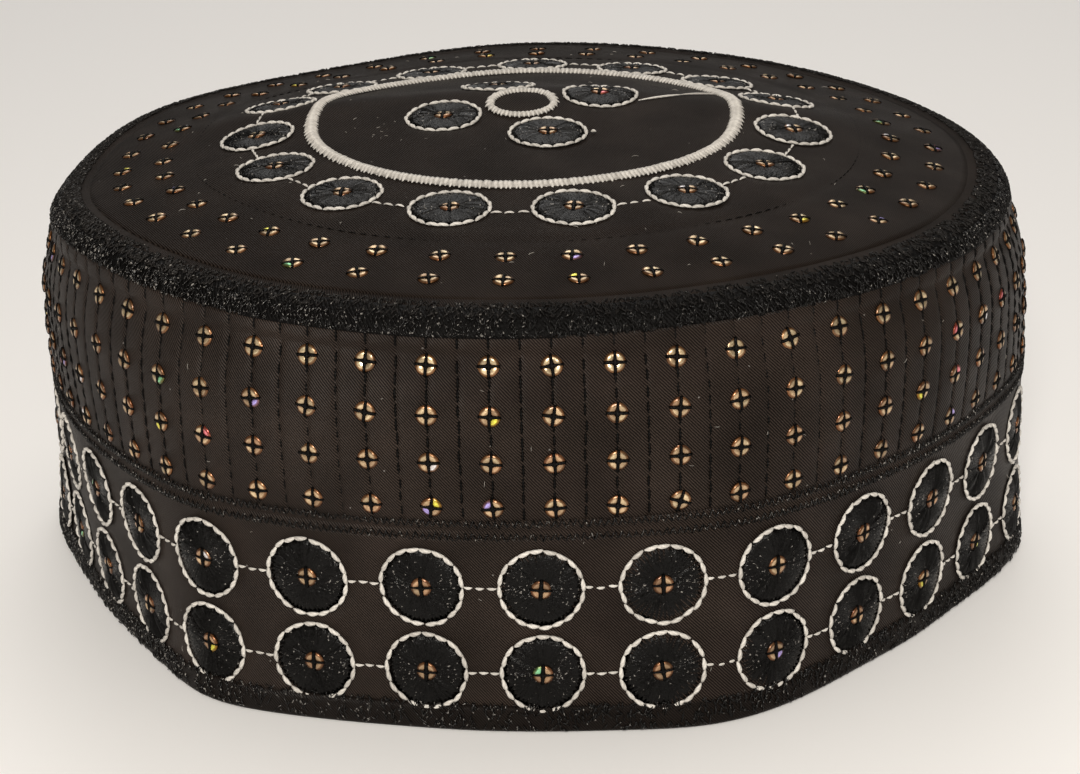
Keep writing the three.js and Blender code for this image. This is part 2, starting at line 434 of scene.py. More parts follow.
def satin(name, lean, shine, light):
    """Black satin twill: fine slanting ribs with a painted highlight on their crests, a mottled sheen partly
    painted into the colour, and a little lint.

    lean turns the ribs, shine is the gloss, and light is the red of the lightest cloth.
    """
    gloss = dict(Sheen_Weight=0.01, Sheen_Roughness=0.4, Specular_IOR_Level=shine)
    made, tree, shader = new_material(name, **gloss)
    flat = add(tree, "UVMap", uv_map="flat").outputs["UV"]
    rib_pitch = 0.39
    across = (math.cos(math.radians(lean)), math.sin(math.radians(lean)), 0.0)
    along = add(tree, "VectorMath", {0: flat, 1: across}, operation="DOT_PRODUCT").outputs["Value"]
    wobble = calc(tree, "MULTIPLY", noise(tree, flat, 0.5), 2.5)
    rib = calc(tree, "SINE", calc(tree, "MULTIPLY_ADD", along, 2 * math.pi / rib_pitch, wobble))
    sheen_patches = noise(tree, flat, 0.07, 4.0)
    grain = noise(tree, flat, 3.0, 3.0)
    # Lighter on the twill crests and in slow patches: painted highlight and sheen of the ribs, mixed with a
    # random grain of the cloth.
    shade = calc(tree, "MULTIPLY_ADD", rib, 0.5, calc(tree, "MULTIPLY_ADD", grain, 0.7, sheen_patches))
    shade = remap(tree, shade, 0.55, 1.65, 0.0, 1.0)
    # The darker colour is painted shade in the rib hollows, and the lighter one is painted highlight on the
    # crests.
    shaded_hollow, crest = (0.0035, 0.0023, 0.0017, 1), (light, light * 0.72, light * 0.57, 1)
    cloth = blend_colours(tree, shade, shaded_hollow, crest)
    cells = add(tree, "TexVoronoi", {"Vector": flat, "Scale": 0.3}, feature="F1")
    draw = add(tree, "SeparateColor", {0: cells.outputs["Color"]}).outputs[0]
    rare = calc(tree, "GREATER_THAN", draw, 0.8)
    speck = calc(tree, "LESS_THAN", cells.outputs["Distance"], 0.05)
    lint = calc(tree, "MULTIPLY", rare, speck)
    set_input(
        tree,
        shader,
        Base_Color=blend_colours(tree, lint, cloth, (0.13, 0.12, 0.11, 1)),
        Roughness=remap(tree, calc(tree, "MULTIPLY_ADD", rib, 0.3, sheen_patches), 0.1, 0.9, 0.55, 0.32),
        Normal=bump(tree, calc(tree, "MULTIPLY_ADD", grain, 0.8, rib), 0.7, 0.06),
    )
    return made


def ply_twist(tree, turns_per_mm, plies):
    """A wave that runs round and along a thread, as its twisted plies do."""
    flat = add(tree, "UVMap", uv_map="flat").outputs["UV"]
    split = add(tree, "SeparateXYZ", {0: flat})
    round_it = calc(tree, "MULTIPLY", split.outputs[1], 2 * math.pi * plies)
    return calc(tree, "SINE", calc(tree, "MULTIPLY_ADD", split.outputs[0], turns_per_mm, round_it))


def black_thread(name, light, roughness, shine, painted_glints):
    """Black thread, each stitch lighter or darker, with fine twisted plies, painted shade in their hollows
    and specks of painted highlight where its grain glints.

    The higher the last argument, the more of the grain is painted with specks of highlight.
    """
    made, tree, shader = new_material(name, Specular_IOR_Level=shine)
    tone = add(tree, "Attribute", attribute_name="tone").outputs["Fac"]
    ply = ply_twist(tree, 9.0, 1)
    grain = noise(tree, add(tree, "TexCoord").outputs["Object"], 2000.0, 2.0)
    # Darker in the hollows of the plies: painted shade.
    shade = calc(tree, "MULTIPLY", tone, remap(tree, ply, -1, 1, 0.6, 1.0))
    dark = (0.0015, 0.0012, 0.001, 1)
    thread = blend_colours(tree, shade, dark, (light, light * 0.88, light * 0.8, 1))
    # Specks of painted highlight: where the grain and the stitch's tone are high, the base colour turns light
    # grey.
    painted_glint_level = calc(tree, "MULTIPLY_ADD", tone, 0.12, grain)
    painted_glint = remap(tree, painted_glint_level, 0.77 - painted_glints, 0.82 - painted_glints, 0.0, 1.0)
    set_input(
        tree,
        shader,
        Base_Color=blend_colours(tree, painted_glint, thread, (0.24, 0.225, 0.205, 1)),
        Roughness=remap(tree, tone, 0.7, 1.1, roughness + 0.12, roughness - 0.06),
        Normal=bump(tree, calc(tree, "MULTIPLY_ADD", ply, 0.15, grain), 0.8, 0.3),
    )
    return made


def white_thread(name, plies):
    """Off-white embroidery thread with its twist, with painted shade in the hollows of the twist."""
    made, tree, shader = new_material(name, Sheen_Weight=0.1, Sheen_Roughness=0.4, Specular_IOR_Level=0.4)
    tone = add(tree, "Attribute", attribute_name="tone").outputs["Fac"]
    ply = ply_twist(tree, 5.0, plies)
    fuzz = noise(tree, add(tree, "TexCoord").outputs["Object"], 4200.0, 2.0)
    # Darker in the hollows of the plies: painted shade.
    shade = calc(tree, "MULTIPLY", tone, remap(tree, ply, -1, 1, 0.78, 1.0))
    shade = calc(tree, "MULTIPLY", shade, remap(tree, fuzz, 0.3, 0.7, 0.86, 1.0))
    set_input(
        tree,
        shader,
        Base_Color=blend_colours(tree, shade, (0.1, 0.085, 0.07, 1), (0.68, 0.645, 0.59, 1)),
        Roughness=remap(tree, fuzz, 0.3, 0.7, 0.42, 0.62),
        Normal=bump(tree, ply, 0.4, 0.1),
    )
    return made


def sequin_foil(name):
    """Gold foil with a thin coat, its colour set for each petal, a few petals in painted flashes of reflected
    colour.
    """
    made, tree, shader = new_material(name, Metallic=0.7, Specular_IOR_Level=0.6, Coat_Weight=0.2)
    tone = add(tree, "Attribute", attribute_name="tone").outputs["Color"]
    fine = noise(tree, add(tree, "TexCoord").outputs["Object"], 1900.0, 2.0)
    worn = blend_colours(tree, remap(tree, fine, 0.4, 0.68, 0.0, 0.45), tone, (0.2, 0.1, 0.035, 1))
    set_input(
        tree,
        shader,
        Base_Color=worn,
        Roughness=remap(tree, fine, 0.3, 0.7, 0.24, 0.42),
        Normal=bump(tree, fine, 0.3, 0.06),
    )
    return made


def lint_fibre(name):
    """Pale dust and short hairs caught on the cloth."""
    made, tree, shader = new_material(name, Roughness=0.8, Specular_IOR_Level=0.2)
    tone = add(tree, "Attribute", attribute_name="tone").outputs["Fac"]
    colour = blend_colours(tree, tone, (0.05, 0.045, 0.04, 1), (0.3, 0.28, 0.25, 1))
    set_input(tree, shader, Base_Color=colour)
    return made


SIDE_SATIN = satin("side_satin", 42, 0.07, 0.05)
TOP_SATIN = satin("top_satin", 28, 0.025, 0.036)
SEAM_SATIN = satin("seam_satin", 42, 0.08, 0.014)
SEAM_THREAD = black_thread("seam_thread", 0.007, 0.24, 0.25, 0.035)
DULL_THREAD = black_thread("dull_thread", 0.016, 0.36, 0.14, -0.01)
QUILT_THREAD = black_thread("quilt_thread", 0.003, 0.45, 0.08, -0.2)
FILL_THREAD = black_thread("fill_thread", 0.003, 0.22, 0.14, 0.0)
WHITE_THREAD = white_thread("white_thread", 2)
RING_THREAD = white_thread("ring_thread", 1)
FOIL = sequin_foil("sequin_foil")
LINT = lint_fibre("lint_fibre")


# Cloth

LINE_PITCH = GIRTH / STITCH_LINES
LINE_COLUMNS = np.array([0.0, 0.3, 0.7, 1.4, 2.5, 3.6, 4.3, 4.7]) / 5.0 * LINE_PITCH


def line_distance(u):
    """Distance to the nearest quilting line."""
    away = (u - side_columns()[0]) % LINE_PITCH
    return np.minimum(away, LINE_PITCH - away)


def quilted(u, z):
    """Channels pressed in along the stitch lines, with small puckers beside them."""
    away = line_distance(u)
    groove_depth, groove_width, puff = 0.22, 0.34, 0.07
    groove = -groove_depth * np.exp(-((away / groove_width) ** 2))
    pillow = puff * np.sin(math.pi * away / LINE_PITCH)
    beside_line = np.exp(-(((away - 0.8) / 0.6) ** 2))
    pucker = puff * beside_line * np.sin(z * 2.5 + np.floor(u / LINE_PITCH) * 1.7)
    return groove + pillow + pucker + soft_waves(u, z, 0.12, 3)


def circle_dimple(u, v, centre_u, centre_v):
    """The cloth is drawn in under each circle of thread."""
    relief = np.zeros(np.broadcast(u, v).shape)
    for cu, cv in zip(centre_u, centre_v):
        away = (u - cu + GIRTH / 2) % GIRTH - GIRTH / 2
        relief = relief - 0.25 * np.exp(-((np.hypot(away, v - cv) - CIRCLE_R) ** 2) / 0.9)
    return relief


def embroidered(u, z):
    return circle_dimple(u, z, *band_centres()) + soft_waves(u, z, 0.16, 5)


def plain(u, z):
    return soft_waves(u, z, 0.06, 7)


def shoulder_rows(radius, turns, share):
    """Profile rows on an arc round the cap's shoulder."""
    radius = np.broadcast_to(radius, np.shape(turns))
    return [(SHOULDER_R + a * math.cos(t), WELT_FROM + a * math.sin(t), share) for a, t in zip(radius, turns)]


def make_walls():
    """The quilted side, which bends in under the overlock, and the lower band."""
    overlap = 0.4
    lines = side_columns()[0] + LINE_PITCH * np.arange(STITCH_LINES)
    columns = (lines[:, None] + LINE_COLUMNS).ravel()
    columns = np.append(columns, columns[0] + GIRTH)
    bend = WELT_FROM - 1.6
    rows = 25
    side = wall_profile(BAND_SEAM[1] - overlap, bend, rows, 5)
    outer, inner = side[:rows], side[rows:]
    share = np.linspace(0, 1, 4)[1:]
    heights = bend + (WELT_FROM - bend) * share
    skin = SHOULDER_ROUND - 0.12
    meet = SHOULDER_R + skin - wall_radius(WELT_FROM)
    outer += [(wall_radius(z) + meet * s * s * (3 - 2 * s), z, 1) for z, s in zip(heights, share)]
    turns = np.linspace(0, OVERLOCK[0] + overlap, 4)[1:] / SHOULDER_ROUND
    outer += shoulder_rows(skin, turns, 1)
    shell("side_panel_cloth", outer + inner, columns, quilted, SIDE_SATIN, ["side_panel"])
    lower = wall_profile(HEM_TOP - overlap, BAND_SEAM[0] + overlap, 40, 5)
    shell("lower_band_cloth", lower, even_steps(560), embroidered, SIDE_SATIN, ["lower_band"])


SEAM_COLUMNS = even_steps(480)
WELT_ARC = SHOULDER_ROUND - 0.2


def make_band_seam_cloth():
    """Two low ridges, one under each row of the band seam's stitches."""
    low, high = BAND_SEAM
    heights = np.linspace(low, high, 13)
    proud = SEAM_PROUD / 2 * np.abs(np.sin((heights - low) / (high - low) * 2 * math.pi))
    outer = [(wall_radius(z) + p - 0.15, z, 1) for z, p in zip(heights, proud)]
    inner = [(wall_radius(z) - WALL_CLOTH, z, 0) for z in np.linspace(high, low, 4)]
    shell("band_seam_cloth", outer + inner, SEAM_COLUMNS, plain, SIDE_SATIN, ["band_seam"])


def make_hem_cloth():
    """The thicker hem, rounded in at its foot."""
    round_in, proud = 0.7, SEAM_PROUD - 0.2
    foot = wall_radius(0) + proud
    rise = np.linspace(0, math.pi / 2, 5)
    outer = [(foot - round_in * (1 - math.sin(t)), round_in * (1 - math.cos(t)), 1) for t in rise]
    outer += [(wall_radius(z) + proud, z, 1) for z in np.linspace(1.4, HEM_TOP - 0.5, 5)]
    outer += [(wall_radius(HEM_TOP) - 0.1, HEM_TOP, 1)]
    inner = [(wall_radius(z) + SEAM_PROUD - SEAM_CLOTH, z, 0) for z in (HEM_TOP, HEM_TOP / 2, 0)]
    shell("hem_cloth", outer + inner, SEAM_COLUMNS, plain, SEAM_SATIN, ["hem"])


def make_welt_cloth():
    """The crown welt, tucked in where the side cloth covers it, sloping down onto the top."""
    turns = np.linspace(0, math.pi / 2, 13)
    tucked = 0.7 * np.clip((OVERLOCK[0] + 0.9 - turns * SHOULDER_ROUND) / 0.6, 0, 1)
    outer = shoulder_rows(WELT_ARC - tucked, turns, 1)
    slope = np.linspace(0, 1, 5)[1:]
    edge = WELT_INNER_R - 0.6
    inset, drop = SHOULDER_R - edge, WELT_FROM + WELT_ARC - CROWN_Z + 0.25
    outer += [(SHOULDER_R - inset * s, WELT_FROM + WELT_ARC - drop * s * s, 1) for s in slope]
    thin = SHOULDER_ROUND / 2
    inner = [(edge, WELT_FROM + thin, 0)] + shoulder_rows(thin, turns[::-3], 0)
    shell("crown_welt_cloth", outer + inner, SEAM_COLUMNS, plain, TOP_SATIN, ["crown_welt"])


def make_overlock_bed():
    """Dark thread under the strands of the crown overlock."""
    low, high = (v / SHOULDER_ROUND for v in OVERLOCK)
    turns = np.linspace(low, min(high, math.pi / 2), 10)
    outer = shoulder_rows(WELT_ARC + 0.12, turns, 1)
    inner = shoulder_rows(WELT_ARC - 0.6, turns[::-3], 0)
    shell("crown_overlock_bed", outer + inner, SEAM_COLUMNS, plain, QUILT_THREAD, ())


def top_relief(x, y, r):
    """Dips under the circles and the guide line, and the cloth's slow unevenness."""
    relief = 0.12 * np.sin(x / 9 + 1.0) * np.sin(y / 11) + 0.1 * np.sin((x + y) / 6.5)
    for ring in (TOP_CIRCLES, INNER_CIRCLES):
        for a, b in zip(*round_places(**ring)[:2]):
            relief = relief - 0.22 * np.exp(-((np.hypot(x - a, y - b) - CIRCLE_R) ** 2) / 0.9)
    return relief - 0.2 * np.exp(-((r - GUIDE_R) ** 2) / 2.0)


def make_top():
    """The top panel, as rings of its underside out to the edge and of its face back to the middle."""
    columns = 360
    edge = WELT_INNER_R + 0.2
    middle = 0.6
    under = [(r, CROWN_Z - TOP_CLOTH, 0) for r in np.linspace(middle, edge, 14)]
    face = [(r, CROWN_Z, 1) for r in np.linspace(edge, middle, 70)]
    r, z, share = (np.array(column)[:, None] for column in zip(*under + face))
    angle = 360 * np.arange(columns)[None] / columns
    x, y = r * np.sin(np.radians(angle)), -r * np.cos(np.radians(angle))
    points = settle(r, angle, z + share * top_relief(x, y, r))
    points, quads, _ = ring_grid(points, np.zeros(columns + 1), np.zeros(len(r) + 1), False)
    ends = [settle(0.0, 0.0, CROWN_Z - TOP_CLOTH), settle(0.0, 0.0, CROWN_Z)]
    points = np.concatenate([points, ends])
    right = (np.arange(columns) + 1) % columns
    last = (len(r) - 1) * columns
    centre = len(points) - 2
    fans = [(centre, int(right[k]), k) for k in range(columns)]
    fans += [(centre + 1, last + k, last + int(right[k])) for k in range(columns)]
    flat = np.concatenate([np.stack([x.ravel(), y.ravel()], -1), np.zeros((2, 2))])
    uv = flat[np.concatenate([np.array(quads).ravel(), np.array(fans).ravel()])]
    make_piece("top_panel_cloth", points, quads + fans, TOP_SATIN, ["top_panel"], uv)


# Seams


def tangle(name, ground, spans, length, width, material, seed):
    """Dense overlock stitching as short strands that lean both ways. Each span is (from, to, strands)."""
    rng = np.random.default_rng(seed)
    u = np.concatenate([rng.uniform(0, GIRTH, count) for _, _, count in spans])
    v = np.concatenate([rng.uniform(low, high, count) for low, high, count in spans])
    turn = np.radians(rng.choice([-64, 64], len(u)) + rng.normal(0, 20, len(u)))
    half = length / 2 * rng.uniform(0.7, 1.3, len(u))
    du, dv = half * np.cos(turn), half * np.sin(turn)
    lowest, highest = spans[0][0], spans[-1][1]
    ends = (u - du, np.clip(v - dv, lowest, highest), u + du, np.clip(v + dv, lowest, highest))
    widths = width * rng.uniform(0.75, 1.25, len(u))
    out = rng.uniform(-0.06, 0.08, len(u))
    return sewn(name, ground, ends, widths, 0.06, material, "black_thread", seed, out)


def zigzag(name, ground, rows, pitch, width, seed):
    """Rows of small zigzag stitching. Each row is (from, to)."""
    rng = np.random.default_rng(seed)
    count = int(GIRTH / pitch)
    lean = pitch * np.where(np.arange(count) % 2, 0.45, -0.45)
    ends = []
    for row, (low, high) in enumerate(rows):
        u = GIRTH * (np.arange(count) + 0.4 * row) / count + rng.normal(0, 0.08, count)
        ends.append((u - lean, low + rng.normal(0, 0.1, count), u + lean, high + rng.normal(0, 0.1, count)))
    ends = [np.concatenate(column) for column in zip(*ends)]
    widths = width * rng.uniform(0.8, 1.2, len(ends[0]))
    return sewn(name, ground, ends, widths, 0.16, SEAM_THREAD, "black_thread", seed, 0.22)


def make_seams():
    """The overlock of the crown and the hem, and the two rows of the band seam."""
    low, high = OVERLOCK
    shoulder = 5.0
    length, width = 1.3, 0.3
    tangle("crown_overlock_wall", on_welt, [(low, shoulder, 5000)], length, width, SEAM_THREAD, 11)
    tangle("crown_overlock_top", on_welt, [(shoulder, high, 4400)], length, width, DULL_THREAD, 12)
    low, high = BAND_SEAM
    row = 1.3
    rows = [(low, low + row), (high - row, high)]
    zigzag("band_seam_stitches", on_wall, rows, 0.6, 0.32, 13)
    tangle("hem_overlock", on_hem, [(0.4, 4.4, 2500), (4.4, 5.4, 900)], 1.4, 0.32, SEAM_THREAD, 14)


def make_quilting():
    """Running stitches down every quilting line."""
    length, gap = 2.1, 0.4
    lines = side_columns()[0] + LINE_PITCH * np.arange(STITCH_LINES)
    starts = np.arange(BAND_SEAM[1] + 0.3, WELT_FROM - length, length + gap)
    u, v = (a.ravel() for a in np.meshgrid(lines, starts))
    rng = np.random.default_rng(21)
    u = u + rng.normal(0, 0.06, len(u))
    v = v + rng.normal(0, 0.15, len(u))
    ends = (u, v, u, v + length)
    sewn("quilt_stitches", on_wall, ends, 0.4, 0.14, QUILT_THREAD, "black_thread", 22, -0.18, sides=4)
    ends = (lines, np.full(len(lines), -0.4), lines, np.full(len(lines), OVERLOCK[0] + 0.2))
    sewn("quilt_ends", on_welt, ends, 0.4, 0.14, QUILT_THREAD, "black_thread", 24, -0.28, sides=4)


def round_stitch(radius, count, fill):
    """Ends of running stitches round a circle on the top."""
    angle = 2 * math.pi * np.arange(count) / count
    ahead = angle + 2 * math.pi / count * fill
    return radius * np.sin(angle), -radius * np.cos(angle), radius * np.sin(ahead), -radius * np.cos(ahead)


def make_guide_circle():
    """The faint black circle of running stitch between the circles and the sequins of the top."""
    ends = round_stitch(GUIDE_R, 180, 0.72)
    sewn("guide_stitches", on_top, ends, 0.24, 0.08, QUILT_THREAD, "black_thread", 23, -0.28)


# Embroidery


def make_fill(name, ground, centre_u, centre_v, seed):
    """Black satin stitch that fills each circle, as ribs running out from the sequin, painted lighter at the
    sides as a highlight.
    """
    ribs = 50
    radii = np.array([0.0, 1.0, 2.1, 3.3, 4.5, 5.7, 6.75])
    height = np.array([0.2, 0.3, 0.42, 0.48, 0.44, 0.3, -0.1])
    spokes = 2 * ribs
    rng = np.random.default_rng(seed)
    place, _, _, out = axes_at(ground, centre_u, centre_v)
    turn = 2 * math.pi * np.arange(spokes) / spokes
    turn = turn[None] + rng.normal(0, 0.012, (len(place), spokes))
    crest = np.where(np.arange(spokes) % 2, 0.5, -0.5) * rng.uniform(0.6, 1.4, (len(place), spokes))
    points = []
    for radius, level in zip(radii[1:], height[1:]):
        rise = level + crest * 0.3 * min(1, radius / 4) + rng.normal(0, 0.05, crest.shape)
        flat_u = centre_u[:, None] + radius * np.sin(turn)
        flat_v = centre_v[:, None] + radius * np.cos(turn)
        points.append(ground(flat_u, flat_v, rise))
    middle = place + out * height[0]
    rings = len(points)
    points = np.concatenate([np.stack(points, 1).reshape(len(place), -1, 3), middle[:, None]], 1)
    each = points.shape[1]
    i, j = np.meshgrid(np.arange(rings - 1), np.arange(spokes), indexing="ij")
    right = (j + 1) % spokes
    quad = np.stack([i * spokes + right, (i + 1) * spokes + right, (i + 1) * spokes + j, i * spokes + j], -1)
    fan = np.stack([np.full(spokes, each - 1), (np.arange(spokes) + 1) % spokes, np.arange(spokes)], -1)
    base = np.arange(len(place))[:, None, None] * each
    quads = (base + quad.reshape(1, -1, 4)).reshape(-1, 4)
    fans = (base + fan[None]).reshape(-1, 3)
    undersides = base[:, 0] + (rings - 1) * spokes + np.arange(spokes)
    # Painted highlight: the tone is higher to the left and right of each circle, which lightens the thread
    # and adds painted glints, and lower above and below, where it darkens as painted shade.
    sideways_highlight = np.abs(np.sin(2 * math.pi * np.arange(each) / spokes)) ** 2
    highlight_tones = (0.3 + 0.7 * sideways_highlight + rng.uniform(-0.1, 0.2, (len(place), each)))[..., None] * np.ones(4)
    uv = np.zeros((quads.size + fans.size + undersides.size, 2))
    faces = quads.tolist() + fans.tolist() + undersides.tolist()
    points, highlight_tones = points.reshape(-1, 3), highlight_tones.reshape(-1, 4)
    make_piece(name, points, faces, FILL_THREAD, (), uv, highlight_tones)


CIRCLE_THREAD = dict(material=WHITE_THREAD, slot="white_thread", form=SPINDLE, sides=6, tall=0.75)
CIRCLE_STITCHES = 20
JOIN_STITCHES = 3


def make_band_circles():
    """The lower band's circles of thread, their fill, and the dashes that join them."""
    u, v = band_centres()
    make_fill("band_circle_fill", on_wall, u, v, 31)
    ends = circle_thread(u, v, CIRCLE_STITCHES, 32)
    in_hem = np.clip((HEM_TOP + 0.7 - (ends[1] + ends[3]) / 2) / 1.2, 0, 1)
    sewn("band_circle_thread", on_wall, ends, 0.8, 0.16, seed=34, out=0.22 - 0.3 * in_hem, **CIRCLE_THREAD)
    spacing = GIRTH / BAND_COLUMNS
    joins = dashes(u + CIRCLE_R + 0.1, v, u + spacing - CIRCLE_R - 0.1, v, JOIN_STITCHES, 33)
    sewn("band_joining_dashes", on_wall, joins, 0.5, 0.16, seed=35, out=0.1, **CIRCLE_THREAD)


def make_top_circles():
    """The top's circles, in a ring and round the middle, and the dashes that join the ring."""
    ring_u, ring_v, angle = round_places(**TOP_CIRCLES)
    inner_u, inner_v, _ = round_places(**INNER_CIRCLES)
    u, v = np.concatenate([ring_u, inner_u]), np.concatenate([ring_v, inner_v])
    make_fill("top_circle_fill", on_top, u, v, 41)
    ends = circle_thread(u, v, CIRCLE_STITCHES, 42)
    sewn("top_circle_thread", on_top, ends, 0.8, 0.12, seed=44, out=0.12, **CIRCLE_THREAD)
    reach = (CIRCLE_R + 0.2) / TOP_CIRCLES["radius"]
    ahead = angle + 2 * math.pi / TOP_CIRCLES["count"]
    path_r = TOP_CIRCLES["radius"] + 1.0
    from_u, from_v = path_r * np.sin(angle + reach), -path_r * np.cos(angle + reach)
    to_u, to_v = path_r * np.sin(ahead - reach), -path_r * np.cos(ahead - reach)
    joins = dashes(from_u, from_v, to_u, to_v, JOIN_STITCHES, 43)
    sewn("top_joining_dashes", on_top, joins, 0.5, 0.12, seed=45, out=0.08, **CIRCLE_THREAD)


def on_round(radius, angle):
    return radius * math.sin(math.radians(angle)), -radius * math.cos(math.radians(angle))


def make_loose_thread():
    """A thread left between two motifs of the top, and a small knot."""
    routes = [(on_round(21.8, 92), on_round(31.0, 101)), (on_round(30.6, 101), on_round(39.4, 107))]
    routes.append((on_round(19.2, 40), on_round(19.9, 42)))
    ends = [np.array(column) for column in zip(*(a + b for a, b in routes))]
    thread = dict(form=SPINDLE, sides=6, tall=0.8)
    widths = np.array([0.5, 0.5, 0.7])
    sewn("loose_thread", on_top, ends, widths, 0.1, WHITE_THREAD, "white_thread", 46, 0.25, **thread)


def hairs(u, v, shortest, longest, rng):
    """Ends of short straight hairs that lie any way round."""
    half = rng.uniform(shortest, longest, len(u))
    turn = rng.uniform(0, math.pi, len(u))
    du, dv = half * np.cos(turn), half * np.sin(turn)
    return u - du, v - dv, u + du, v + dv


def make_lint():
    """Short pale hairs caught on the cloth, thickest in one brushed spot on the top."""
    rng = np.random.default_rng(47)
    reach, angle = 78 * np.sqrt(rng.random(60)), rng.uniform(0, 2 * math.pi, 60)
    spread = np.stack([reach * np.sin(angle), reach * np.cos(angle)])
    spot = np.array([[-26.0], [-8.0]]) + rng.normal(0, 4.0, (2, 16))
    u, v = np.concatenate([spread, spot], 1)
    width, lift = 0.11, 0.1
    ends = hairs(u, v, 0.2, 0.8, rng)
    sewn("top_lint", on_top, ends, width, lift, LINT, "white_thread", 48, 0.1)
    u, v = rng.uniform(0, GIRTH, 130), rng.uniform(6, 66, 130)
    ends = hairs(u, v, 0.15, 0.6, rng)
    sewn("wall_lint", on_wall, ends, width, lift, LINT, "white_thread", 49, 0.22)


def ring_core(ring):
    """The padded core of a satin-stitch ring, as points, faces and corner uv."""
    columns, sides = ring["stitches"] // 2, 10
    turn = np.linspace(0, 2 * math.pi, sides, endpoint=False)
    core_r = ring["radius"] + ring["width"] * 0.4 * np.cos(turn)
    core_up = ring["height"] * (0.22 + 0.36 * np.sin(turn))
    around = 360 * np.arange(columns)[None] / columns
    core = settle(core_r[:, None], around, CROWN_Z + core_up[:, None])
    return ring_grid(core, np.zeros(columns + 1), np.zeros(sides + 1), True)


def make_satin_ring(name, ring, node, seed):
    """A raised ring of satin stitch: a padded core with thread wrapped across it."""
    rng = np.random.default_rng(seed)
    count = ring["stitches"]
    angle = 2 * math.pi * np.arange(count) / count + rng.normal(0, 0.0016, count)
    slant = 0.4 * 2 * math.pi / count
    reach_in = ring["radius"] - ring["width"] / 2 + rng.normal(0, 0.06, count)
    reach_out = ring["radius"] + ring["width"] / 2 + np.where(np.arange(count) % 2, 0.14, -0.1)
    reach_out = reach_out + rng.normal(0, 0.06, count)
    u0, v0 = reach_in * np.sin(angle), -reach_in * np.cos(angle)
    u1, v1 = reach_out * np.sin(angle + slant), -reach_out * np.cos(angle + slant)
    width = 2 * math.pi * ring["radius"] / count * 1.12
    normal = axes_at(on_top, (u0 + u1) / 2, (v0 + v1) / 2)[3]
    level = ring["height"] * 0.3
    starts, ends = on_top(u0, v0, level), on_top(u1, v1, level)
    lift = ring["height"] * 0.34
    points, faces, uv = stitches(starts, ends, normal, width, lift, SPINDLE, 6, 0.6)
    colours = tones(count, len(points) // count, 0.72, 0.96, seed)
    core, quads, core_uv = ring_core(ring)
    faces += (np.array(quads) + len(points)).tolist()
    uv = np.concatenate([uv, core_uv])
    colours = np.concatenate([colours, np.full((len(core), 4), 0.5)])
    points = np.concatenate([points, core])
    make_piece(name, points, faces, RING_THREAD, [node], uv, colours)


# Sequins

GOLD = np.array([0.84, 0.68, 0.42])
COPPER = np.array([0.54, 0.32, 0.18])
# Dark brown that the painted shade at the hole, the down-turned edge and beside the cross multiplies in
PAINTED_SHADE_TINT = np.array([0.22, 0.1, 0.04])
# Painted reflections: the colours of the foil's pearly flash, fixed on a few petals
PAINTED_FLASHES = np.array(
    [
        [0.3, 0.85, 0.45],
        [0.95, 0.25, 0.3],
        [0.5, 0.42, 0.95],
        [0.95, 0.9, 0.1],
        [0.95, 0.95, 0.98],
    ]
)

# From the hole of a sequin out over its face and down its edge: its form, and how much painted shade darkens
# it
SEQUIN_FORM = dict(
    radius=np.array([0.26, 0.42, 0.72, 0.82, 1.0, 1.0]) * SEQUIN_R,
    level=np.array([0.1, 0.22, 0.28, 0.2, 0.08, -0.1]),
    painted_shade=np.array([0.95, 0.2, 0.0, 0.85, 1.0, 1.0]),
)


def petal_colours(count, copper, rng):
    """A colour for each of a sequin's four petals: mostly gold, with a few painted flashes of reflected
    colour.
    """
    mix = np.clip(np.reshape(copper, (-1, 1, 1)) + rng.normal(0, 0.22, (count, 4, 1)), 0, 1)
    colour = (GOLD * (1 - mix) + COPPER * mix) * rng.uniform(0.5, 1.1, (count, 4, 1))
    painted_flash = rng.random((count, 4)) < 0.06
    colour[painted_flash] = PAINTED_FLASHES[rng.integers(0, len(PAINTED_FLASHES), painted_flash.sum())]
    return colour


def sequin_shape(count, rng):
    """Points of a cupped sequin in its own plane, and each petal's height, tilted a little."""
    steps = 20
    radii, levels = SEQUIN_FORM["radius"], SEQUIN_FORM["level"]
    turn = 2 * math.pi * (np.arange(steps) + 0.5) / steps
    x, y = radii[:, None] * np.sin(turn), radii[:, None] * np.cos(turn)
    petal = np.arange(steps) * 4 // steps
    tilt = rng.normal(0, 0.08, (count, 4, 2))
    lift = tilt[:, petal, 0][:, None] * x + tilt[:, petal, 1][:, None] * y
    pressed = 0.15 * np.abs(np.cos(2 * turn)) ** 8
    level = levels[:, None] - pressed + np.clip(lift, -0.1, 0.15)
    level[:, -1] = levels[-1]
    # The last value is the painted shade where the cross presses the petals down.
    return x, y, level, petal, 6 * pressed


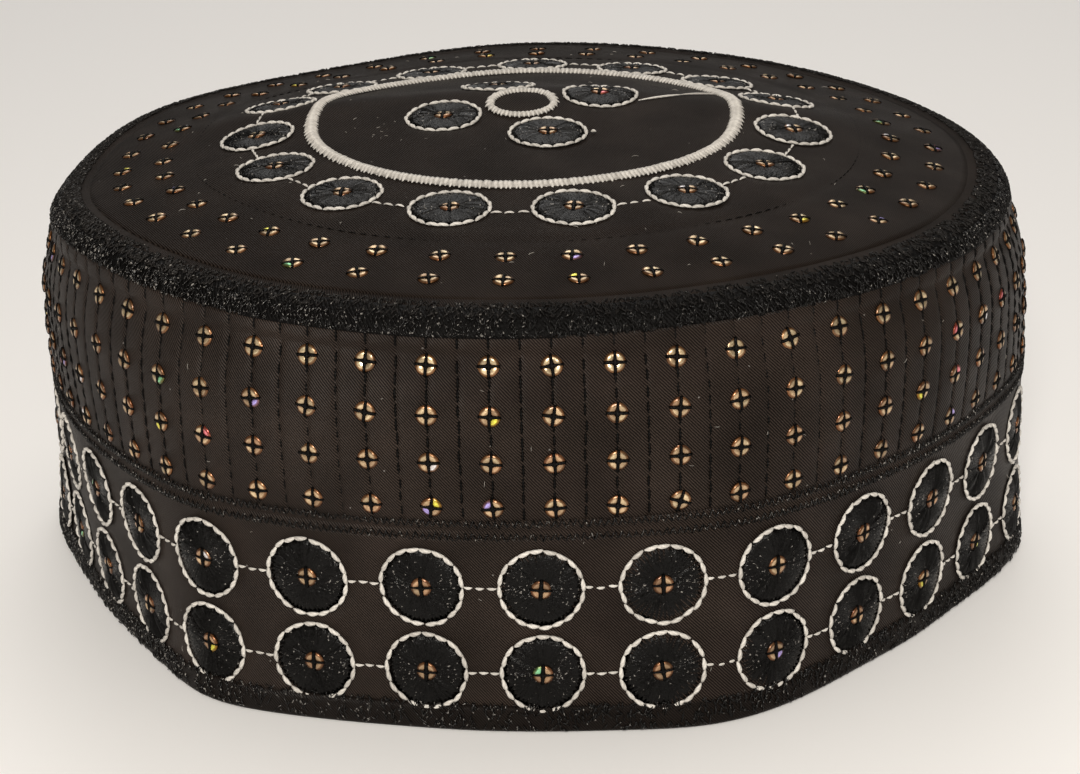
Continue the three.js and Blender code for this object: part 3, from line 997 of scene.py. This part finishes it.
def make_sequins(name, ground, u, v, out, copper, arms, seed):
    """Sequins sewn down by a cross of black thread. arms is the width of its upright and level stitches."""
    rng = np.random.default_rng(seed)
    place, along, up, normal = axes_at(ground, u, v)
    place = place + normal * out
    count = len(place)
    spin = rng.normal(0, 0.1, count)[:, None]
    along, up = along * np.cos(spin) + up * np.sin(spin), up * np.cos(spin) - along * np.sin(spin)
    x, y, level, petal, arm_shade = sequin_shape(count, rng)
    points = place[:, None, None] + along[:, None, None] * x[None, ..., None]
    points = points + up[:, None, None] * y[None, ..., None] + normal[:, None, None] * level[..., None]
    colour = petal_colours(count, copper, rng)[:, petal][:, None]
    # Painted shade: darker at the hole, at the down-turned edge and where the cross presses the petals.
    painted_shade_share = SEQUIN_FORM["painted_shade"][None, :, None, None]
    painted_shade_share = 1 - (1 - painted_shade_share) * (1 - arm_shade[None, None, :, None])
    tint = colour * (1 - painted_shade_share) + colour * PAINTED_SHADE_TINT * painted_shade_share
    tint = np.concatenate([tint, np.ones((*tint.shape[:-1], 1))], -1)
    rings, steps = x.shape
    i, j = np.meshgrid(np.arange(rings - 1), np.arange(steps), indexing="ij")
    right = (j + 1) % steps
    quad = np.stack([i * steps + right, (i + 1) * steps + right, (i + 1) * steps + j, i * steps + j], -1)
    base = np.arange(count)[:, None, None] * rings * steps
    quads = (base + quad.reshape(1, -1, 4)).reshape(-1, 4)
    caps = np.stack([np.arange(steps)[::-1], (rings - 1) * steps + np.arange(steps)])
    caps = (base + caps[None]).reshape(-1, steps)
    faces = quads.tolist() + caps.tolist()
    make_piece(name, points.reshape(-1, 3), faces, FOIL, (), None, tint.reshape(-1, 4))
    make_crosses(name + "_thread", place, along, up, normal, arms, seed)


def make_crosses(name, place, along, up, normal, arms, seed):
    """Four stitches from the hole of each sequin out over its edge, and the knot between them."""
    reach = SEQUIN_R * 1.08
    upright, level = arms
    ways = [(0, 1, upright), (1, 0, level), (0, -1, upright), (-1, 0, level)]
    starts = [place + normal * 0.26 for _ in ways]
    ends = [place + normal * 0.14 + (along * a + up * b) * reach for a, b, _ in ways]
    widths = [np.full(len(place), width) for _, _, width in ways]
    knot = 0.45
    starts.append(place + normal * 0.2 - up * knot)
    ends.append(place + normal * 0.2 + up * knot)
    widths.append(np.full(len(place), 2 * knot))
    starts, ends, widths = (np.concatenate(parts) for parts in (starts, ends, widths))
    normals = np.tile(normal, (len(ways) + 1, 1))
    points, faces, uv = stitches(starts, ends, normals, widths, 0.12, ARM, 4, 0.6)
    colours = tones(len(starts), len(points) // len(starts), 0.6, 1.0, seed)
    make_piece(name, points, faces, QUILT_THREAD, (), uv, colours)


def make_all_sequins():
    even, bold = (0.54, 0.54), (0.7, 0.46)
    u, v = (a.ravel() for a in np.meshgrid(side_columns(), SIDE_ROWS))
    row_copper = np.repeat([0.0, 0.35, 0.5, 0.45], SIDE_COLUMNS)
    make_sequins("side_sequins", on_wall, u, v, 0.14, row_copper, even, 51)
    u, v = band_centres()
    make_sequins("band_sequins", on_wall, u, v, 0.42, 0.75, bold, 52)
    places = [round_places(TOP_SEQUINS["count"], TOP_SEQUINS["phase"], r)[:2] for r in TOP_SEQUINS["radii"]]
    u, v = (np.concatenate(axis) for axis in zip(*places))
    make_sequins("top_sequins", on_top, u, v, 0.08, 0.2, even, 53)
    places = [round_places(**ring)[:2] for ring in (TOP_CIRCLES, INNER_CIRCLES)]
    u, v = (np.concatenate(axis) for axis in zip(*places))
    make_sequins("top_circle_sequins", on_top, u, v, 0.4, 0.5, bold, 54)


# Stage


def make_floor():
    half, level = 4.0, -0.0002
    mesh = bpy.data.meshes.new("floor")
    corners = [(-half, -half), (half, -half), (half, half), (-half, half)]
    mesh.from_pydata([(x, y, level) for x, y in corners], [], [(0, 1, 2, 3)])
    pale = (0.9, 0.89, 0.88, 1)
    made = new_material("floor_pale", Base_Color=pale, Roughness=0.7, Specular_IOR_Level=0.2)[0]
    mesh.materials.append(made)
    floor = bpy.data.objects.new("floor", mesh)
    bpy.context.scene.collection.objects.link(floor)


def add_light(name, place, aim, size, power, colour):
    data = bpy.data.lights.new(name, "AREA")
    data.shape = "DISK"
    data.size = size
    data.energy = power
    data.color = colour
    lamp = bpy.data.objects.new(name, data)
    lamp.location = place
    lamp.rotation_mode = "QUATERNION"
    lamp.rotation_quaternion = (Vector(aim) - Vector(place)).to_track_quat("-Z", "Y")
    bpy.context.scene.collection.objects.link(lamp)


def make_lights():
    cap_middle = (0, 0, 0.05)
    add_light("key", (-0.04, -0.96, 0.62), cap_middle, 0.34, 12.5, (1.0, 0.95, 0.88))
    add_light("overhead", (0.1, 0.3, 1.1), cap_middle, 0.9, 3.4, (1.0, 0.94, 0.87))
    add_light("back", (0.0, 1.5, 1.3), (0, 1.0, 0), 1.2, 8.0, (1.0, 0.98, 0.96))
    add_light("fill", (0.9, -0.5, 0.5), cap_middle, 0.7, 0.3, (1.0, 0.96, 0.92))
    world = bpy.data.worlds.new("studio")
    world.use_nodes = True
    background = world.node_tree.nodes["Background"]
    background.inputs["Color"].default_value = (0.95, 0.93, 0.9, 1)
    background.inputs["Strength"].default_value = 0.18
    bpy.context.scene.world = world
    bpy.context.scene.view_settings.view_transform = "Standard"


def make_camera():
    """The photograph's view: its lens, distance, height, lean and framing."""
    focal_px, frame_px = 2453.7, (1080, 774)
    distance, elevation, lean = 478.8, 20.63, -1.54
    aim = CENTRE_SHIFT + np.array([0.0, 0.0, 27.3])
    middle_px = (529.8, 388.7)
    data = bpy.data.cameras.new("camera")
    data.sensor_width = 36.0
    data.lens = focal_px / frame_px[0] * data.sensor_width
    data.shift_x = (frame_px[0] / 2 - middle_px[0]) / frame_px[0]
    data.shift_y = (middle_px[1] - frame_px[1] / 2) / frame_px[0]
    data.clip_start = 0.01
    camera = bpy.data.objects.new("camera", data)
    tilt = math.radians(elevation)
    back = Vector((0, -math.cos(tilt), math.sin(tilt)))
    camera.location = Vector(aim * MM) + back * distance * MM
    camera.rotation_mode = "QUATERNION"
    roll = Quaternion((0, 0, 1), math.radians(lean))
    camera.rotation_quaternion = (-back).to_track_quat("-Z", "Y") @ roll
    bpy.context.scene.collection.objects.link(camera)
    bpy.context.scene.camera = camera


make_camera()
make_lights()
make_floor()
make_walls()
make_band_seam_cloth()
make_hem_cloth()
make_welt_cloth()
make_overlock_bed()
make_top()
make_seams()
make_quilting()
make_guide_circle()
make_band_circles()
make_top_circles()
make_loose_thread()
make_lint()
make_satin_ring("crown_ring_satin", CROWN_RING, "crown_ring", 61)
make_satin_ring("centre_ring_satin", CENTRE_RING, "centre_ring", 62)
make_all_sequins()
